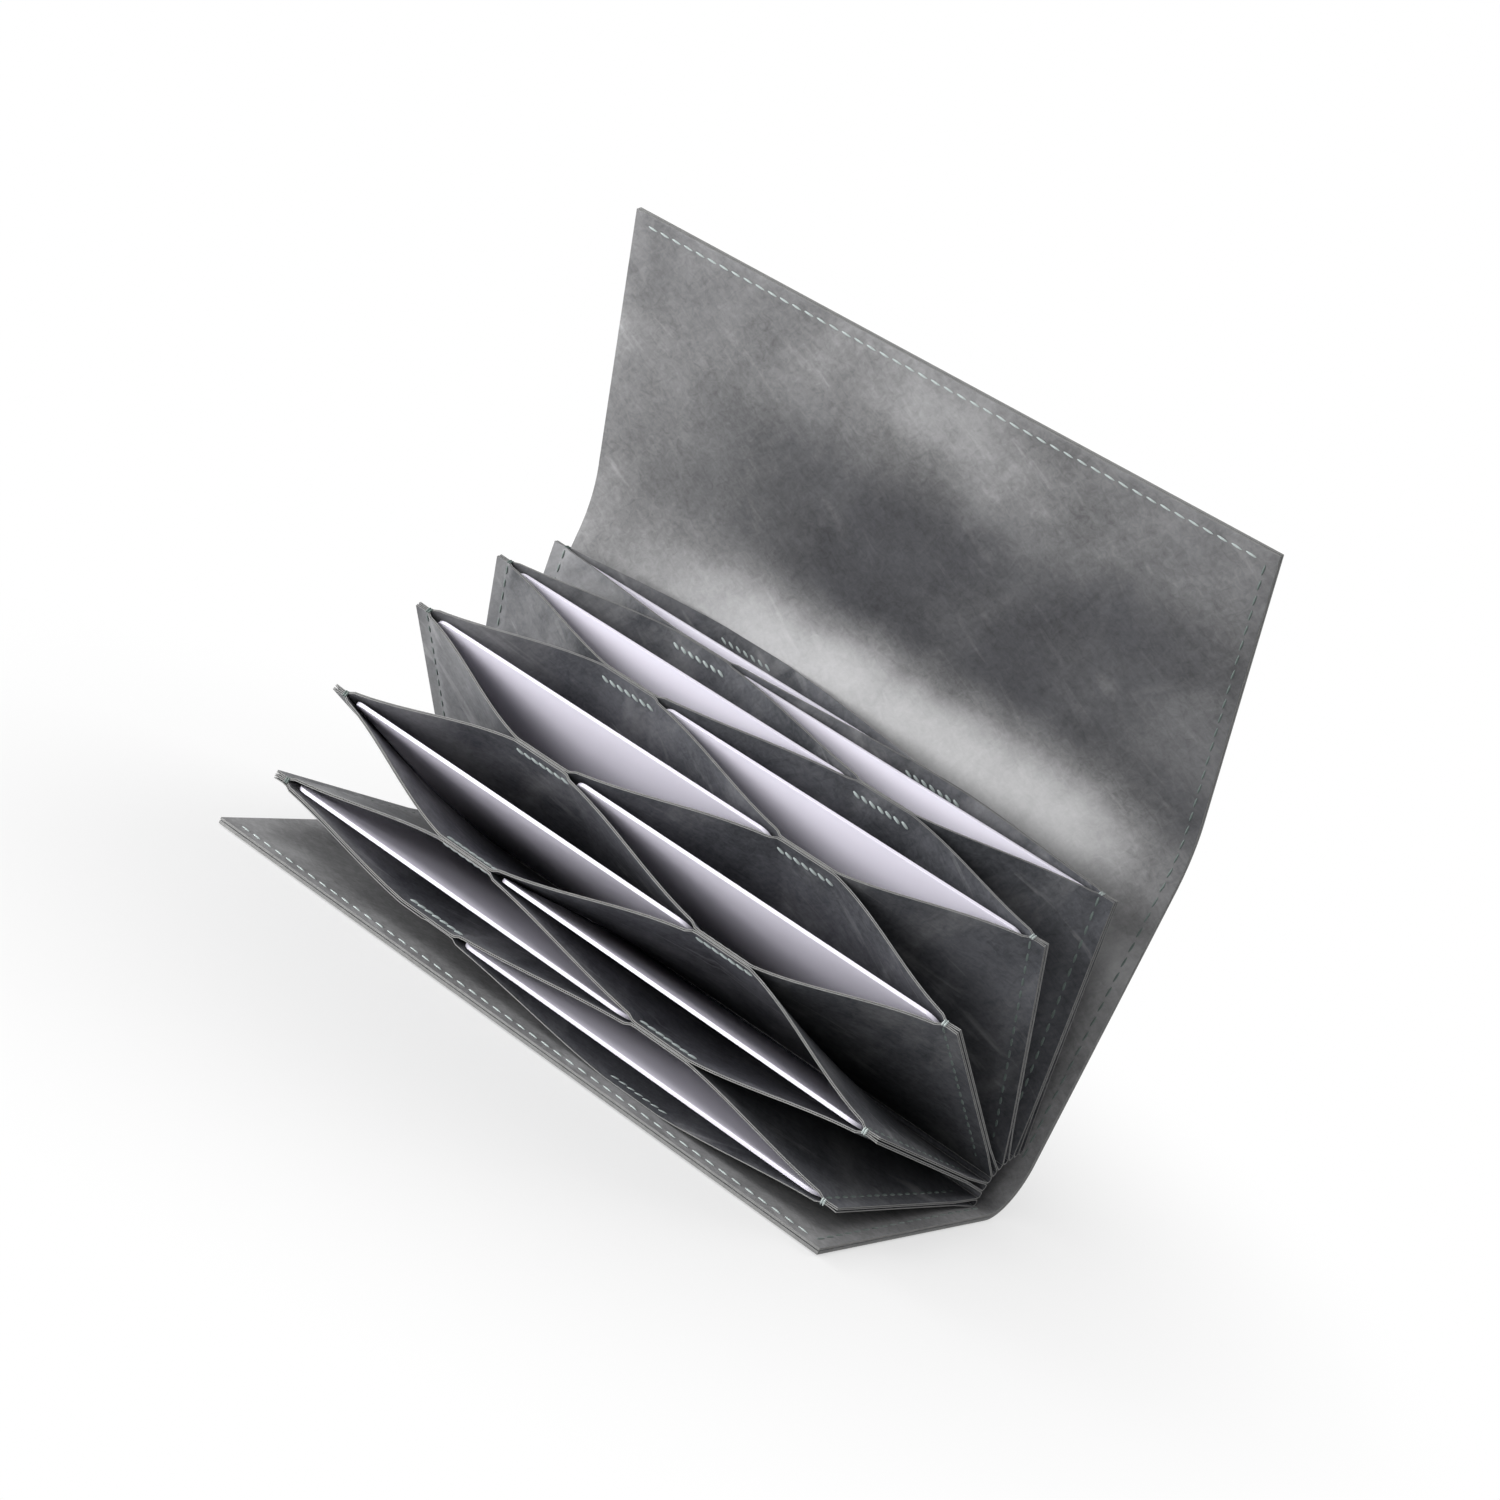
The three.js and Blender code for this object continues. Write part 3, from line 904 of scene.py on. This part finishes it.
class CARDCASE_OT_stage(bpy.types.Operator):
    """Sets the floor, the studio light and the camera"""

    bl_idname = "cardcase.stage"
    bl_label = "Stage"

    def seen_or_mirrored(self, tree):
        """1 for what is seen straight, in a mirror or through glass, and 0 for light on the case."""
        rays = add_node(tree, "ShaderNodeLightPath").outputs
        seen = rays["Is Camera Ray"]
        for kind in ("Is Glossy Ray", "Is Transmission Ray"):
            either = {0: seen, 1: rays[kind]}
            seen = add_node(tree, "ShaderNodeMath", either, operation="MAXIMUM").outputs[0]
        return seen

    def execute(self, context):
        scene = context.scene
        scene.view_settings.view_transform = "Standard"
        white = opaque(linear("#ffffff"))

        # The floor lies just under the case, and the shadow on it fades into white
        floor_width, floor_drop = 8, 0.3 * MM
        fade_start, fade_end = 40 * MM, 180 * MM
        bpy.ops.object.select_all(action="DESELECT")
        bpy.ops.mesh.primitive_plane_add(size=floor_width, location=(0, 0, -floor_drop))
        floor = context.object
        floor.name = "studio_floor"
        bpy.ops.object.transform_apply(location=True, rotation=True, scale=True)
        tree, shader = new_finish("studio_floor")
        shader.inputs["Base Color"].default_value = opaque(scene.card_case_colours.floor)
        shader.inputs["Roughness"].default_value = 1
        shader.inputs["Specular IOR Level"].default_value = 0
        place = add_node(tree, "ShaderNodeTexCoord").outputs["Object"]
        distance = add_node(tree, "ShaderNodeVectorMath", {0: place}, operation="LENGTH")
        far = add_node(
            tree,
            "ShaderNodeMapRange",
            {0: distance.outputs["Value"], 1: fade_start, 2: fade_end, 3: 0.5, 4: 1.0},
            interpolation_type="SMOOTHSTEP",
        )
        seen = self.seen_or_mirrored(tree)
        fade = add_node(tree, "ShaderNodeMath", {0: far.outputs[0], 1: seen}, operation="MULTIPLY")
        glow = add_node(tree, "ShaderNodeEmission", {"Color": white})
        mixed = add_node(
            tree, "ShaderNodeMixShader", {0: fade.outputs[0], 1: shader.outputs[0], 2: glow.outputs[0]}
        )
        tree.links.new(mixed.outputs[0], tree.nodes["Material Output"].inputs["Surface"])
        floor.data.materials.append(bpy.data.materials["studio_floor"])

        world = bpy.data.worlds.new("studio")
        scene.world = world
        world.use_nodes = True
        tree = world.node_tree
        seen = self.seen_or_mirrored(tree)
        ambient = add_node(tree, "ShaderNodeBackground", {"Color": white, "Strength": 0.1})
        backdrop = add_node(tree, "ShaderNodeBackground", {"Color": white, "Strength": 1.0})
        mixed = add_node(
            tree, "ShaderNodeMixShader", {0: seen, 1: ambient.outputs[0], 2: backdrop.outputs[0]}
        )
        tree.links.new(mixed.outputs[0], tree.nodes["World Output"].inputs["Surface"])

        # Name, place, width and power of each light
        # Low soft light from the front and the left reaches under the leaves, as off a white table
        lights = (
            ("front_light", (-0.3, -0.75, 0.12), 0.5, 5.8),
            ("left_light", (-0.65, -0.2, 0.08), 0.4, 6.0),
            ("camera_light", (0.3, -0.8, 0.25), 0.6, 1.0),
            ("top_light", (-0.05, -0.35, 0.8), 0.6, 2.5),
            ("back_light", (0.2, 0.8, 0.45), 0.6, 5.0),
        )
        target = Vector((0, 0.01, 0.05))
        for name, position, width, power in lights:
            aim = (target - Vector(position)).to_track_quat("-Z", "Y").to_euler()
            bpy.ops.object.light_add(type="AREA", location=position, rotation=aim)
            light = context.object
            light.name = name
            light.data.size = width
            light.data.energy = power

        # The camera is tilted sideways, as the photo is
        position = Vector((274.9, -498.08, 185.66)) * MM
        forward = Vector((-0.46554, 0.85773, -0.21812)).normalized()
        right = Vector((0.74744, 0.51301, 0.42208)).normalized()
        up = right.cross(forward)
        turn = Matrix((right, up, -forward)).transposed().to_euler()
        bpy.ops.object.camera_add(location=position, rotation=turn)
        camera = context.object
        camera.name = "studio_camera"
        camera.data.lens = 77.36
        camera.data.sensor_width = 36
        camera.data.clip_start = 0.05
        scene.camera = camera
        return {"FINISHED"}


class CARDCASE_PT_sidebar(bpy.types.Panel):
    """Lists the steps that make the case, and its sizes and colours"""

    bl_label = "Card case"
    bl_space_type = "VIEW_3D"
    bl_region_type = "UI"
    bl_category = "Card case"

    def draw(self, context):
        for step in STEPS:
            self.layout.operator(step.bl_idname)
        for group in (context.scene.card_case_sizes, context.scene.card_case_colours):
            for name in type(group).__annotations__:
                self.layout.prop(group, name)


STEPS = (
    CARDCASE_OT_finishes,
    CARDCASE_OT_cover,
    CARDCASE_OT_pockets,
    CARDCASE_OT_cards,
    CARDCASE_OT_thread,
    CARDCASE_OT_stage,
)
CLASSES = (CardCaseSizes, CardCaseColours, *STEPS, CARDCASE_PT_sidebar)


def register():
    for kind in CLASSES:
        bpy.utils.register_class(kind)
    bpy.types.Scene.card_case_sizes = bpy.props.PointerProperty(type=CardCaseSizes)
    bpy.types.Scene.card_case_colours = bpy.props.PointerProperty(type=CardCaseColours)


def unregister():
    del bpy.types.Scene.card_case_colours
    del bpy.types.Scene.card_case_sizes
    for kind in reversed(CLASSES):
        bpy.utils.unregister_class(kind)


def main():
    register()
    bpy.ops.cardcase.finishes()
    bpy.ops.cardcase.cover()
    bpy.ops.cardcase.pockets()
    bpy.ops.cardcase.cards()
    bpy.ops.cardcase.thread()
    bpy.ops.cardcase.stage()


if __name__ == "__main__":
    main()
